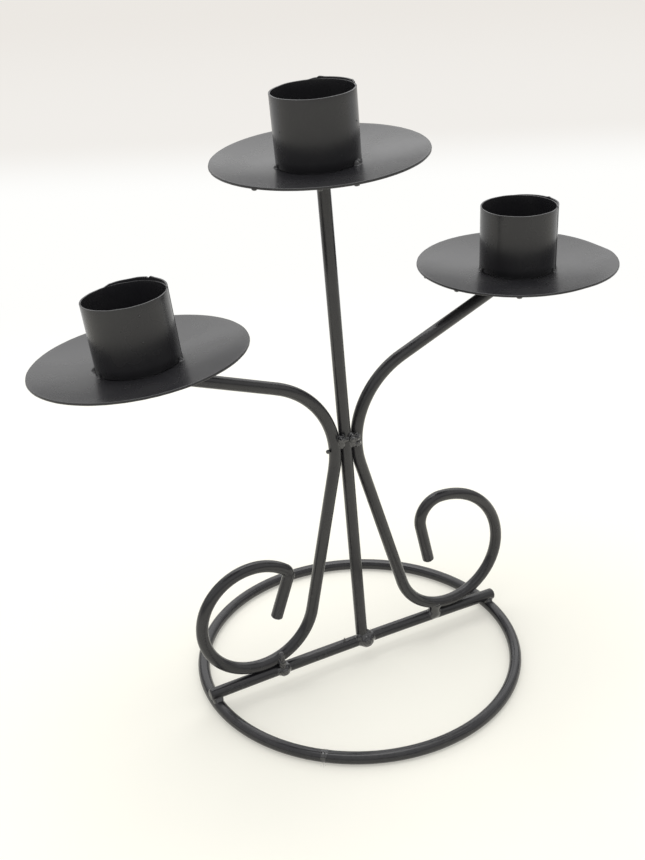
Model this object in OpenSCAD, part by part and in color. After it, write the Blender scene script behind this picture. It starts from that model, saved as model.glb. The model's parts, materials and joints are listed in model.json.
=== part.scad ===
// Three-light candle stand for a table, bent from round steel wire and welded.
// A wire ring lies on the table with a straight bar across it. A straight stem and two scrolls stand
// on the bar, side by side and touching at the waist. Each scroll is one length of wire: an arm, a
// wide bend at the waist, a straight leg and an open loop that rests on the bar and ends in a hook.
// A shallow dished pan sits on the end of the stem and of each arm, with a rolled candle cup on it.
// The frame leans a little and the pans tilt, as the hand-welded original does.
// +X is to the right along the bar, +Y to the back, +Z up. The origin is on the table, at the centre
// of the ring.

/* [Wire] */
// Diameter of the round steel wire of the whole frame
wire_d = 3.6; // [3:0.1:4.4]
// Bevel at each cut end of a wire
cut_bevel = 0.35; // [0.1:0.05:0.8]

/* [Base] */
// Radius of the base ring, to the middle of its wire
ring_r = 52; // [47:0.5:62]
// How far each end of the cross bar stands past the outside of the ring
bar_overhang = 0.2; // [-0.8:0.1:3]
// Sideways shift of the cross bar
bar_shift = 0.7; // [-1:0.1:1]
// Direction of the butt joint in the ring, counted from +X
ring_joint_angle = -131; // [-165:1:-15]
// Open length between the two ends of the ring, which the weld fills
ring_joint_gap = 0.8; // [0.4:0.1:1.6]

/* [Stem] */
// Length of the centre stem
stem_len = 157.8; // [125:0.1:190]
// Place of the stem's foot along the bar
stem_foot_x = 1.4; // [-3:0.1:3]
// Lean of the stem to the left
stem_lean = 2.5; // [0:0.05:4]
// Lean of the stem and scrolls to the back, turned about the bar
back_lean = 0.6; // [-2:0.1:3]
// Turn of the stem and scrolls on the bar, clockwise seen from above
scroll_turn = 0.7; // [-1.5:0.1:1.5]

/* [Scrolls] */
// Radius of the bend between each arm and its leg
bend_r = 27.2; // [18:0.1:34]
// Height along the stem at which the left scroll touches it
left_waist = 73.6; // [66:0.1:84]
// Rise of the left arm above level
left_arm_slope = 19.4; // [8:0.1:32]
// Straight length of the left arm
left_arm_len = 43.5; // [30:0.1:60]
// Slant of the left leg from upright
left_leg_slant = 12.1; // [6:0.1:24]
// Height along the stem at which the right scroll touches it
right_waist = 72.5; // [66:0.1:84]
// Rise of the right arm above level
right_arm_slope = 23.2; // [8:0.1:32]
// Straight length of the right arm
right_arm_len = 44; // [30:0.1:60]
// Slant of the right leg from upright
right_leg_slant = 16.3; // [6:0.1:24]

/* [Loops] */
// Radius of the left loop from its leg round its foot
left_loop_r = 19.1; // [14:0.1:22]
// Turn of the left loop at that radius
left_loop_turn = 164; // [125:1:175]
// Radius of the left loop over its top
left_crown_r = 17.8; // [14:0.1:22]
// Turn of the left loop over its top
left_crown_turn = 134; // [80:1:160]
// Radius of the tight bend at the left hook
left_hook_r = 2.6; // [2.4:0.1:9]
// Turn of the left hook
left_hook_turn = 70; // [50:1:120]
// Straight end of the left hook
left_hook_len = 14.4; // [6:0.1:16]
// Radius of the right loop from its leg round its foot
right_loop_r = 19.3; // [14:0.1:22]
// Turn of the right loop at that radius
right_loop_turn = 163; // [125:1:175]
// Radius of the right loop over its top
right_crown_r = 22.6; // [14:0.1:24]
// Turn of the right loop over its top
right_crown_turn = 91; // [80:1:160]
// Radius of the tight bend at the right hook
right_hook_r = 7.8; // [2.6:0.1:9]
// Turn of the right hook
right_hook_turn = 102; // [50:1:120]
// Straight end of the right hook
right_hook_len = 13.8; // [6:0.1:16]

/* [Drip pans] */
// Diameter of each drip pan
pan_d = 60.6; // [50:0.1:72]
// Depth of the dish of each pan
pan_depth = 2.7; // [1.2:0.1:5]
// Thickness of the pan's steel sheet
pan_sheet = 0.7; // [0.5:0.05:1.2]
// Tilt of the left pan to the left
left_pan_tilt = 4.5; // [0:0.1:8]
// Tilt of the left pan to the back
left_pan_back = 2.6; // [-4:0.1:4]
// Distance of the left arm's tip past the middle of its pan
left_arm_past = 1.3; // [-3:0.1:6]
// Tilt of the centre pan to the left
centre_pan_tilt = 3.7; // [0:0.1:8]
// Tilt of the centre pan to the back
centre_pan_back = -2.3; // [-4:0.1:4]
// Distance of the stem's end past the middle of the centre pan, to the right
centre_stem_past = 0.4; // [-3:0.1:3]
// Tilt of the right pan to the left
right_pan_tilt = 0.8; // [-4:0.1:8]
// Tilt of the right pan to the back
right_pan_back = -1.4; // [-4:0.1:4]
// Distance of the right arm's tip past the middle of its pan
right_arm_past = -1.4; // [-3:0.1:6]

/* [Candle cups] */
// Bore of each cup, which takes a 22 mm candle
cup_bore = 22.4; // [20:0.1:26]
// Height of each cup
cup_h = 20; // [14:0.5:28]
// Thickness of the cup's steel sheet
cup_sheet = 0.5; // [0.4:0.05:1]
// Sideways place of the left cup on its pan
left_cup_shift = -0.3; // [-1.5:0.1:1.5]
// Sideways place of the centre cup on its pan
centre_cup_shift = -0.4; // [-1.5:0.1:1.5]
// Sideways place of the right cup on its pan
right_cup_shift = 1.1; // [-1.5:0.1:1.5]
// Direction in which the outer layer of the lap seam begins, counted from +X
lap_start = -12; // [-20:1:20]
// Part of the turn over which the rolled sheet laps over itself
lap_turn = 62; // [20:1:90]
// How far the lapped edge stands above the rim of the left cup
left_lap_rise = 0.8; // [0:0.1:1.5]
// How far the lapped edge stands above the rim of the centre cup
centre_lap_rise = 0.4; // [0:0.1:1.5]
// How far the lapped edge stands above the rim of the right cup
right_lap_rise = 0.3; // [0:0.1:1.5]

/* [Welds] */
// Radius of the round bead at the foot of the stem
stem_bead_r = 2.9; // [2.5:0.1:3.4]
// Radius of the beads between the scrolls and the bar
foot_bead_r = 2.2; // [1.9:0.1:2.8]
// Distance of those beads from each loop's lowest point, towards the stem
foot_bead_in = 5; // [2:0.1:7]
// Radius of the beads across the waist
waist_bead_r = 1.3; // [0.9:0.1:1.7]
// Height of the waist beads above the points of touch
waist_bead_up = 3; // [0:0.1:5]
// Radius of the beads under the pans
pan_bead_r = 2.4; // [1.9:0.1:3]
// Radius of the tack welds at the foot of each cup
tack_r = 1.1; // [0.8:0.1:1.6]
// Directions of the two tack welds of each cup, counted from +X
tack_angles = [-40, 158]; // [-180:1:180]
// How far the bead of the ring's butt joint stands out
joint_bead = 0.4; // [0.2:0.05:0.8]
// Gap left between wires that lie against each other
seat_gap = 0.15; // [0.1:0.05:0.3]
// Gap left between a bead and the metal that it holds
weld_gap = 0.08; // [0.05:0.01:0.15]

/* [Hidden] */
$fn = 64;
BLACK = "#2b2b2d";
BEAD = "#343436";

// Sides, as the sign of the outward direction
LEFT = -1;
RIGHT = 1;

wire_r = wire_d / 2;
// From the middle of one wire to the middle of the next where they lie against each other
stack = wire_d + seat_gap;
bar_z = wire_r + stack;
bar_half = ring_r + wire_r + bar_overhang;
// Distance of the stem's lower end from the bar's axis, with the low corner of its end clear of the bar
stem_start = (wire_r + seat_gap + wire_r * sin(stem_lean)) / cos(stem_lean);
stem_end = stem_start + stem_len;

pan_r = pan_d / 2;
// Inner radius of the sphere that the dish is part of
dish_r = (pan_r * pan_r + pan_depth * pan_depth) / (2 * pan_depth);
cup_r = cup_bore / 2 + cup_sheet;
lap_r = cup_r + cup_sheet;
// Height of the dish's inner surface above the pan's lowest point, at a distance from the middle
function dish_z(r) = pan_sheet + dish_r - sqrt(dish_r * dish_r - r * r);
// Height of a cup's foot, where its outer edge stands on the curve of the dish
function cup_foot(shift) = dish_z(lap_r + abs(shift)) + weld_gap;
// Clearance above the stem's flat end for the tilt of the centre pan
centre_tilt_room = wire_r * (abs(sin(centre_pan_tilt - stem_lean)) + abs(sin(centre_pan_back)));

// ---- The plane of the stem and scrolls ----
// It stands on the bar's axis. Points are [outward, up], and outward is to the left or the right.
function pick(side, left, right) = side == LEFT ? left : right;
function waist(side) = pick(side, left_waist, right_waist);
function arm_slope(side) = pick(side, left_arm_slope, right_arm_slope);
function arm_len(side) = pick(side, left_arm_len, right_arm_len);
function leg_slant(side) = pick(side, left_leg_slant, right_leg_slant);
function loop_r(side) = pick(side, left_loop_r, right_loop_r);

// Direction of the stem, and the direction out of it, as a side sees them
function stem_way(side) = [-side * sin(stem_lean), cos(stem_lean)];
function stem_out(side) = [cos(stem_lean), side * sin(stem_lean)];
function on_stem(side, s) = [side * stem_foot_x, 0] + s * stem_way(side);

// Middle of the wide bend, set so that the scroll touches the stem at the waist
function bend_middle(side) = on_stem(side, waist(side)) + (bend_r + stack) * stem_out(side);
function leg_top(side) = bend_middle(side) - bend_r * [cos(leg_slant(side)), sin(leg_slant(side))];
function arm_foot(side) = bend_middle(side) + bend_r * [-sin(arm_slope(side)), cos(arm_slope(side))];
function arm_way(side) = [cos(arm_slope(side)), sin(arm_slope(side))];
function arm_tip(side) = arm_foot(side) + arm_len(side) * arm_way(side);
// The leg is as long as it takes for the loop to rest on the bar
function leg_foot_z(side) = stack + loop_r(side) * (1 - sin(leg_slant(side)));
function leg_len(side) = (leg_top(side)[1] - leg_foot_z(side)) / cos(leg_slant(side));
function leg_foot(side) = leg_top(side) + leg_len(side) * [sin(leg_slant(side)), -cos(leg_slant(side))];
// Where the loop is lowest, straight under its middle
function loop_low_x(side) = leg_foot(side)[0] + loop_r(side) * cos(leg_slant(side));

// The wire of a scroll from the arm's tip to the hook's end: straights are [length], bends [radius, turn]
function scroll_runs(side) = [
    [arm_len(side)],
    [bend_r, 90 + leg_slant(side) - arm_slope(side)],
    [leg_len(side)],
    [loop_r(side), pick(side, left_loop_turn, right_loop_turn)],
    [pick(side, left_crown_r, right_crown_r), pick(side, left_crown_turn, right_crown_turn)],
    [pick(side, left_hook_r, right_hook_r), pick(side, left_hook_turn, right_hook_turn)],
    [pick(side, left_hook_len, right_hook_len)]
];

// ---- Bending a wire in a plane ----
function is_bend(run) = len(run) == 2;
function way(heading) = [cos(heading), sin(heading)];
function left_of(heading) = [-sin(heading), cos(heading)];
function next_point(p, heading, run) = is_bend(run)
    ? p + run[0] * (left_of(heading) - left_of(heading + run[1]))
    : p + run[0] * way(heading);
function next_heading(heading, run) = is_bend(run) ? heading + run[1] : heading;

// Straights and bends are drawn in turn, and every other run is a hair thinner and reaches a little
// way into the bends next to it, so that the runs join as one solid
join_step = 0.02;
join_reach = 0.2;

// A straight wire along Z, bevelled at the ends where it was cut
module rod(length, r, cut_low, cut_high) {
    low = cut_low ? [[r - cut_bevel, 0], [r, cut_bevel]] : [[r, 0]];
    high = cut_high ? [[r, length - cut_bevel], [r - cut_bevel, length]] : [[r, length]];
    rotate_extrude() polygon(concat([[0, 0]], low, high, [[0, length]]));
}

// A straight length of a bent wire from p, which reaches into the bends next to it
module straight_wire(p, heading, length, r, cut_start, cut_end) {
    from = cut_start ? 0 : -join_reach;
    to = cut_end ? length : length + join_reach;
    translate([p[0], p[1], 0]) rotate([0, 0, heading]) rotate([0, 90, 0]) translate([0, 0, from])
        rod(to - from, r, cut_start, cut_end);
}

// A bend to the left, as part of a torus
module bent_wire(p, heading, run, r, reach) {
    middle = p + run[0] * left_of(heading);
    extra = reach / run[0] * 180 / PI;
    translate([middle[0], middle[1], 0]) rotate([0, 0, heading - 90 - extra])
        rotate_extrude(angle = run[1] + 2 * extra, $fn = 120) translate([run[0], 0]) circle(r = r, $fn = 48);
}

// A whole bent wire, drawn run by run
module wire_path(p, heading, runs, r, i = 0) {
    if (i < len(runs)) {
        thin = i % 2 == 0;
        run_r = thin ? r - join_step : r;
        if (is_bend(runs[i])) bent_wire(p, heading, runs[i], run_r, thin ? join_reach : 0);
        else straight_wire(p, heading, runs[i][0], run_r, i == 0, i == len(runs) - 1);
        wire_path(next_point(p, heading, runs[i]), next_heading(heading, runs[i]), runs, r, i + 1);
    }
}

// Puts what is drawn in the plane of the scrolls on the bar, with its turn and the lean to the back
module upright() {
    translate([0, 0, bar_z]) rotate([-back_lean, 0, 0]) rotate([0, 0, -scroll_turn]) children();
}

// Turns a drawing in X and Y up into the plane of one side
module in_plane(side) {
    mirror([side == LEFT ? 1 : 0, 0, 0]) rotate([90, 0, 0]) children();
}

// ---- Base ----
// Half the angle of the open joint in the ring
ring_joint_half = ring_joint_gap / 2 / ring_r * 180 / PI;

module ring_wire(r) {
    translate([0, 0, wire_r]) rotate([0, 0, ring_joint_angle + ring_joint_half])
        rotate_extrude(angle = 360 - 2 * ring_joint_half, $fn = 240)
            translate([ring_r, 0]) circle(r = r, $fn = 48);
}

module base_ring() {
    color(BLACK) ring_wire(wire_r);
}

// Bead that fills the butt joint of the ring, dressed flat where the ring meets the table
module ring_joint_weld() {
    bead_r = wire_r + joint_bead;
    color(BEAD) difference() {
        rotate([0, 0, ring_joint_angle]) translate([ring_r, 0, wire_r]) sphere(r = bead_r);
        ring_wire(wire_r + weld_gap);
        translate([-2 * ring_r, -2 * ring_r, -2 * bead_r]) cube([4 * ring_r, 4 * ring_r, 2 * bead_r]);
    }
}

module bar_wire(r) {
    translate([bar_shift - bar_half, 0, bar_z]) rotate([0, 90, 0]) rod(2 * bar_half, r, true, true);
}

module cross_bar() {
    color(BLACK) bar_wire(wire_r);
}

// Beads in the two corners where an end of the bar crosses the ring
module bar_end_weld(side) {
    color(BEAD) difference() {
        for (way = [-1, 1])
            translate([side * ring_r, way * wire_r * 0.95, wire_d + seat_gap / 2])
                sphere(r = wire_r * 0.75);
        ring_wire(wire_r + weld_gap);
        bar_wire(wire_r + weld_gap);
    }
}

module left_bar_end_weld() {
    bar_end_weld(LEFT);
}

module right_bar_end_weld() {
    bar_end_weld(RIGHT);
}

// ---- Stem ----
// Stands what is drawn on the foot of the stem, along the stem
module along_stem() {
    upright() translate([stem_foot_x, 0, 0]) rotate([0, -stem_lean, 0]) children();
}

module stem_wire(r) {
    along_stem() translate([0, 0, stem_start]) rod(stem_len, r, false, true);
}

module centre_stem() {
    color(BLACK) stem_wire(wire_r);
}

// Round bead on the bar, run into the right side of the stem's foot
module stem_foot_weld() {
    color(BEAD) difference() {
        union() {
            translate([stem_foot_x + wire_r + 0.8, -0.7, bar_z - 0.4]) sphere(r = stem_bead_r);
            translate([stem_foot_x + wire_r * 0.6, -wire_r * 0.6, bar_z + wire_r]) sphere(r = wire_r);
        }
        bar_wire(wire_r + weld_gap);
        stem_wire(wire_r + weld_gap);
        // a gap below the stem's flat end too
        along_stem() translate([0, 0, stem_start - weld_gap]) cylinder(h = 2 * weld_gap, r = wire_r + weld_gap);
    }
}

// ---- Scrolls ----
module scroll_wire(side, r) {
    upright() in_plane(side)
        wire_path(arm_tip(side), 180 + arm_slope(side), scroll_runs(side), r);
}

module left_scroll() {
    color(BLACK) scroll_wire(LEFT, wire_r);
}

module right_scroll() {
    color(BLACK) scroll_wire(RIGHT, wire_r);
}

// Bead that holds a loop down on the bar: a ball on the front of the bar and a saddle above it
module scroll_foot_weld(side) {
    x = side * (loop_low_x(side) - foot_bead_in);
    color(BEAD) difference() {
        union() {
            translate([x, -0.8, bar_z - 0.3]) sphere(r = foot_bead_r);
            translate([x, -0.9, bar_z + stack / 2]) sphere(r = foot_bead_r * 0.85);
            translate([x, 0.7, bar_z + stack / 2]) sphere(r = foot_bead_r * 0.7);
        }
        bar_wire(wire_r + weld_gap);
        scroll_wire(side, wire_r + weld_gap);
    }
}

module left_scroll_foot_weld() {
    scroll_foot_weld(LEFT);
}

module right_scroll_foot_weld() {
    scroll_foot_weld(RIGHT);
}

// Two overlapping lumps down the front groove between a scroll and the stem
module waist_weld(side) {
    along = waist(side) + waist_bead_up;
    color(BEAD) difference() {
        upright() for (drop = [0, 1]) {
            spot = on_stem(side, along - drop * 2.2) + stack / 2 * stem_out(side);
            translate([side * spot[0], -wire_r * (0.85 - 0.15 * drop), spot[1]])
                sphere(r = waist_bead_r * (1 - 0.1 * drop));
        }
        stem_wire(wire_r + weld_gap);
        scroll_wire(side, wire_r + weld_gap);
    }
}

module left_waist_weld() {
    waist_weld(LEFT);
}

module right_waist_weld() {
    waist_weld(RIGHT);
}

// ---- Pans ----
// Highest point of a side arm's end, which the pan rests on
function arm_top(side) =
    arm_tip(side) + (wire_r - cut_bevel) * [-sin(arm_slope(side)), cos(arm_slope(side))];

// Puts what is drawn about a pan's lowest point on the end of its arm
module on_arm(side) {
    top = arm_top(side);
    past = pick(side, left_arm_past, right_arm_past);
    tilt = pick(side, left_pan_tilt, right_pan_tilt);
    back = pick(side, left_pan_back, right_pan_back);
    upright() translate([side * top[0], 0, top[1]]) rotate([-back, -tilt, 0])
        translate([-side * past, 0, seat_gap]) children();
}

module on_stem_end() {
    top = on_stem(RIGHT, stem_end + seat_gap + centre_tilt_room);
    upright() translate([top[0], 0, top[1]]) rotate([-centre_pan_back, -centre_pan_tilt, 0])
        translate([-centre_stem_past, 0, 0]) children();
}

module dish_ball(r) {
    translate([0, 0, dish_r + pan_sheet]) sphere(r = r, $fn = 180);
}

// A shallow dish of even thickness, cut to a round edge
module pan() {
    rotate_extrude($fn = 180) intersection() {
        translate([0, dish_r + pan_sheet]) difference() {
            circle(r = dish_r + pan_sheet, $fn = 720);
            circle(r = dish_r, $fn = 720);
        }
        square([pan_r, pan_depth + 2 * pan_sheet]);
    }
}

module left_drip_pan() {
    color(BLACK) on_arm(LEFT) pan();
}

module centre_drip_pan() {
    color(BLACK) on_stem_end() pan();
}

module right_drip_pan() {
    color(BLACK) on_arm(RIGHT) pan();
}

// Beads under a pan round the end of the wire that carries it
module pan_beads(spread) {
    for (way = [-1, 1]) translate([0, way * spread, -pan_bead_r * 0.3]) sphere(r = pan_bead_r);
}

module pan_weld(side) {
    color(BEAD) difference() {
        on_arm(side) difference() {
            translate([-side * wire_r, 0, 0]) pan_beads(wire_r * 0.7);
            dish_ball(dish_r + pan_sheet + weld_gap);
        }
        scroll_wire(side, wire_r + weld_gap);
    }
}

module left_pan_weld() {
    pan_weld(LEFT);
}

module right_pan_weld() {
    pan_weld(RIGHT);
}

module centre_pan_weld() {
    color(BEAD) difference() {
        on_stem_end() difference() {
            for (turn = [20, 140, 260]) rotate([0, 0, turn])
                translate([wire_r * 0.6, 0, -pan_bead_r * 0.3]) sphere(r = pan_bead_r);
            dish_ball(dish_r + pan_sheet + weld_gap);
        }
        stem_wire(wire_r + weld_gap);
    }
}

// ---- Cups ----
// A tube rolled from a strip whose outer end laps over the inner one, standing on the dish
module cup(shift, lap_rise) {
    translate([shift, 0, cup_foot(shift)]) difference() {
        union() {
            cylinder(h = cup_h, r = cup_r, $fn = 120);
            rotate([0, 0, lap_start]) rotate_extrude(angle = lap_turn, $fn = 120)
                translate([cup_r - cup_sheet / 2, 0]) square([cup_sheet * 1.5, cup_h + lap_rise]);
        }
        translate([0, 0, -1]) cylinder(h = cup_h + lap_rise + 2, r = cup_bore / 2, $fn = 120);
    }
}

module left_candle_cup() {
    color(BLACK) on_arm(LEFT) cup(left_cup_shift, left_lap_rise);
}

module centre_candle_cup() {
    color(BLACK) on_stem_end() cup(centre_cup_shift, centre_lap_rise);
}

module right_candle_cup() {
    color(BLACK) on_arm(RIGHT) cup(right_cup_shift, right_lap_rise);
}

// Small tack welds in the corner between the cup and the dish
module cup_tacks(shift) {
    near = cup_r - 1 - abs(shift);
    far = cup_r + 3 * tack_r + abs(shift);
    difference() {
        for (turn = tack_angles) translate([shift, 0, 0]) rotate([0, 0, turn])
            translate([cup_r + tack_r * 0.3, 0, cup_foot(shift) + tack_r * 0.2]) sphere(r = tack_r);
        // the pan below, with its curve drawn in short steps
        rotate_extrude($fn = 180)
            polygon([
                [near, -pan_depth], [far, -pan_depth],
                for (r = [far : -0.5 : near]) [r, dish_z(r) + weld_gap]
            ]);
        translate([shift, 0, 0]) cylinder(h = cup_h, r = cup_r + weld_gap, $fn = 240);
    }
}

module left_cup_tacks() {
    color(BEAD) on_arm(LEFT) cup_tacks(left_cup_shift);
}

module centre_cup_tacks() {
    color(BEAD) on_stem_end() cup_tacks(centre_cup_shift);
}

module right_cup_tacks() {
    color(BEAD) on_arm(RIGHT) cup_tacks(right_cup_shift);
}

base_ring();
ring_joint_weld();
cross_bar();
left_bar_end_weld();
right_bar_end_weld();
centre_stem();
stem_foot_weld();
left_scroll();
right_scroll();
left_scroll_foot_weld();
right_scroll_foot_weld();
left_waist_weld();
right_waist_weld();
left_drip_pan();
centre_drip_pan();
right_drip_pan();
left_pan_weld();
centre_pan_weld();
right_pan_weld();
left_candle_cup();
centre_candle_cup();
right_candle_cup();
left_cup_tacks();
centre_cup_tacks();
right_cup_tacks();
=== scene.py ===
"""Looks of a three-light candle stand, welded from black wire and sheet.

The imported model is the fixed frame. The wires keep their solids and get a satin black paint. The
cross bar, pans, cups and welds are replaced by finer pieces at the same places. A length is in
metres unless its name ends in _mm. +X is to the right along the cross bar, +Y back and +Z up.
"""

import json
import logging
import math
from dataclasses import dataclass
from enum import Enum

import bpy
import numpy as np
from mathutils import Matrix, Vector
from mathutils.bvhtree import BVHTree

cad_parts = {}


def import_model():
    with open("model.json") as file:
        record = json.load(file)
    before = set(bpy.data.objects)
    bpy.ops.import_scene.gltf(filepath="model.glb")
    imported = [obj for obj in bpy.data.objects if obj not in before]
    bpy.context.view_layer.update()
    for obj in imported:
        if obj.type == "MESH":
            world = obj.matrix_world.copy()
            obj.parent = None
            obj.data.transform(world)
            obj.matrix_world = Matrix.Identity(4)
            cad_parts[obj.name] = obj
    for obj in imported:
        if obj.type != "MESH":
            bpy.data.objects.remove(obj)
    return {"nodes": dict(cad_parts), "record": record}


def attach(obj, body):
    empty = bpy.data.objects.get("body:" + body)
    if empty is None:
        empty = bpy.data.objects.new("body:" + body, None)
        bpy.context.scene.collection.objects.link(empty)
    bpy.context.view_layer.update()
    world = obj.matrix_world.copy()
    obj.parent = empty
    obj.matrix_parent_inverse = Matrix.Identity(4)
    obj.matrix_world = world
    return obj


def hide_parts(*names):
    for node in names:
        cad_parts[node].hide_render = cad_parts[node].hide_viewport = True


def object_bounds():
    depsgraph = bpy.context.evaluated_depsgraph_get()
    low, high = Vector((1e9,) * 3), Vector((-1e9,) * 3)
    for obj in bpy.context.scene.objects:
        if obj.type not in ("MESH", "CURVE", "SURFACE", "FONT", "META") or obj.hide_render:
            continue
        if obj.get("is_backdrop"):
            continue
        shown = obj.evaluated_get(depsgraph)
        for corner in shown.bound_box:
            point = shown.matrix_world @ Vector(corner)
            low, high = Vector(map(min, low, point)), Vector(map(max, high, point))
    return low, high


LOG = logging.getLogger("candle_stand")
MM = 0.001
FULL_TURN = 2 * math.pi
BODY = "root"
WIRE_NODES = ("base_ring", "cross_bar", "centre_stem", "left_scroll", "right_scroll")
CUP_SHIFT_MM = {"left": -0.3, "centre": -0.4, "right": 1.1}
BORE_MM, CUP_SHEET_MM = 22.4, 0.5

Array = np.ndarray
Faces = list[tuple[int, ...]]
Paint = bpy.types.Material
Point = tuple[float, float, float]
Socket = bpy.types.NodeSocket
Thing = bpy.types.Object
Tree = bpy.types.NodeTree


class Slot(Enum):
    """Material slots of the record."""

    WIRE = "black_wire"
    SHEET = "black_sheet"
    BEAD = "weld_bead"


# ---- Meshes ----


def add_piece(
    name: str,
    points: Array,
    faces: Faces,
    material: Paint,
    node: str | None = None,
) -> Thing:
    """Add a smooth mesh that rides on the stand.

    Args:
        name: Name of the piece.
        points: Its points in metres, one row each.
        faces: Its faces, as numbers of points.
        material: Its material.
        node: The CAD node that it stands for, if any.

    Returns:
        The new object.
    """
    mesh = bpy.data.meshes.new(name)
    mesh.from_pydata(points.tolist(), [], faces)
    mesh.polygons.foreach_set("use_smooth", [True] * len(mesh.polygons))
    mesh.materials.append(material)
    mesh.validate()
    piece = bpy.data.objects.new(name, mesh)
    bpy.context.scene.collection.objects.link(piece)
    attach(piece, BODY)
    if node:
        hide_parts(node)
    LOG.info("%s: %d points, stands for %s", name, len(points), node)
    return piece


def strip_faces(rows: int, columns: int, round_rows: bool = False) -> Faces:
    """List the faces of a grid of points whose rows are closed rings.

    Args:
        rows: Number of rows.
        columns: Number of points in each row.
        round_rows: Join the last row to the first, and leave the rows open.

    Returns:
        Four-sided faces.
    """
    faces = []
    for i in range(rows if round_rows else rows - 1):
        for j in range(columns - 1 if round_rows else columns):
            a, b = i * columns, (i + 1) % rows * columns
            k = (j + 1) % columns
            faces.append((a + j, b + j, b + k, a + k))
    return faces


def turns(count: int) -> Array:
    """Give evenly spaced directions round a full turn, in radians."""
    return np.linspace(0, FULL_TURN, count, endpoint=False)


def ease(share: float) -> float:
    """Smooth the ends of a share that goes from 0 to 1."""
    return share * share * (3 - 2 * share)


def soft_power(value: float, power: float) -> float:
    """Raise a value's size to a power, and keep its sign."""
    return math.copysign(abs(value) ** power, value)


def ripple(points: Array, waves_mm: float, seed: int) -> Array:
    """Give smooth chance values at points, from a few crossed waves.

    Args:
        points: Points in millimetres, one row each.
        waves_mm: Typical length of a wave.
        seed: Number that picks the waves.

    Returns:
        One value from about -1 to 1 for each point.
    """
    chance = np.random.default_rng(seed)
    total = np.zeros(len(points))
    count = 7
    for _ in range(count):
        way = chance.normal(size=3)
        way *= FULL_TURN / (waves_mm * chance.uniform(0.7, 1.5) * np.linalg.norm(way))
        total += np.sin(points @ way + chance.uniform(0, FULL_TURN))
    return total / (count / 2)


def surface_of(values: Array, low_mm: Array, step_mm: float) -> tuple[Array, Faces]:
    """Draw the surface on which a grid of values is zero, as a net through its cells.

    Args:
        values: Values at the grid's points, negative inside.
        low_mm: The grid's first point.
        step_mm: Distance of its points.

    Returns:
        Points in millimetres, and four-sided faces.
    """
    shape = np.array(values.shape)
    cells = shape - 1
    total = np.zeros((*cells, 3))
    hits = np.zeros(cells)
    inside = values < 0
    crossings = []
    for axis in range(3):
        first, second = [slice(None)] * 3, [slice(None)] * 3
        first[axis], second[axis] = slice(0, -1), slice(1, None)
        first, second = tuple(first), tuple(second)
        cut = inside[first] != inside[second]
        gap = np.where(cut, values[first] - values[second], 1.0)
        share = np.where(cut, values[first] / gap, 0.0)
        crossings.append((axis, cut, inside[first]))
        u, v = (n for n in range(3) if n != axis)
        for near in (0, 1):
            for far in (0, 1):
                part = [slice(None)] * 3
                part[u] = slice(near, shape[u] - 1 + near)
                part[v] = slice(far, shape[v] - 1 + far)
                here = cut[tuple(part)]
                hits += here
                total[..., axis] += share[tuple(part)]
                total[..., u] += here * near
                total[..., v] += here * far
    used = hits > 0
    numbers = np.full(cells, -1)
    numbers[used] = np.arange(used.sum())
    points = low_mm + step_mm * (np.argwhere(used) + total[used] / hits[used][:, None])
    faces = [face for crossing in crossings for face in net_faces(*crossing, numbers)]
    return points, faces


def net_faces(axis: int, cut: Array, starts_inside: Array, numbers: Array) -> Faces:
    """List the faces round the grid's edges along one axis that the surface cuts.

    Args:
        axis: Number of the axis.
        cut: Which edges are cut.
        starts_inside: Which edges start inside.
        numbers: Number of the surface's point in each cell.

    Returns:
        Four-sided faces that look outward.
    """
    faces = []
    u, v = (axis + 1) % 3, (axis + 2) % 3
    for spot in np.argwhere(cut):
        if not (0 < spot[u] < numbers.shape[u] and 0 < spot[v] < numbers.shape[v]):
            continue
        loop = []
        for back_u, back_v in ((1, 1), (0, 1), (0, 0), (1, 0)):
            cell = spot.copy()
            cell[u] -= back_u
            cell[v] -= back_v
            loop.append(int(numbers[tuple(cell)]))
        faces.append(tuple(loop) if starts_inside[tuple(spot)] else tuple(loop[::-1]))
    return faces


def coat(wire: Thing, box: tuple[Vector, Vector], thick_mm: float = 0.13) -> None:
    """Lay a coat of paint on a wire's solid, thinner where the stand's own size ends.

    Args:
        wire: The wire.
        box: Lowest and highest corner of the stand.
        thick_mm: Thickness of the coat.
    """
    low, high = box
    fade_up, fade_side = 1.5 * MM, 1.0 * MM
    group = wire.vertex_groups.new(name="coat")
    for vertex in wire.data.vertices:
        above = (vertex.co.z - low[2]) / fade_up
        front, back = (vertex.co.y - low[1]) / fade_side, (high[1] - vertex.co.y) / fade_side
        group.add([vertex.index], min(max(min(above, front, back), 0.0), 1.0), "REPLACE")
    layer = wire.modifiers.new("paint_coat", "DISPLACE")
    layer.vertex_group = group.name
    layer.mid_level = 0.0
    layer.strength = thick_mm * MM


# ---- Places ----


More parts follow.
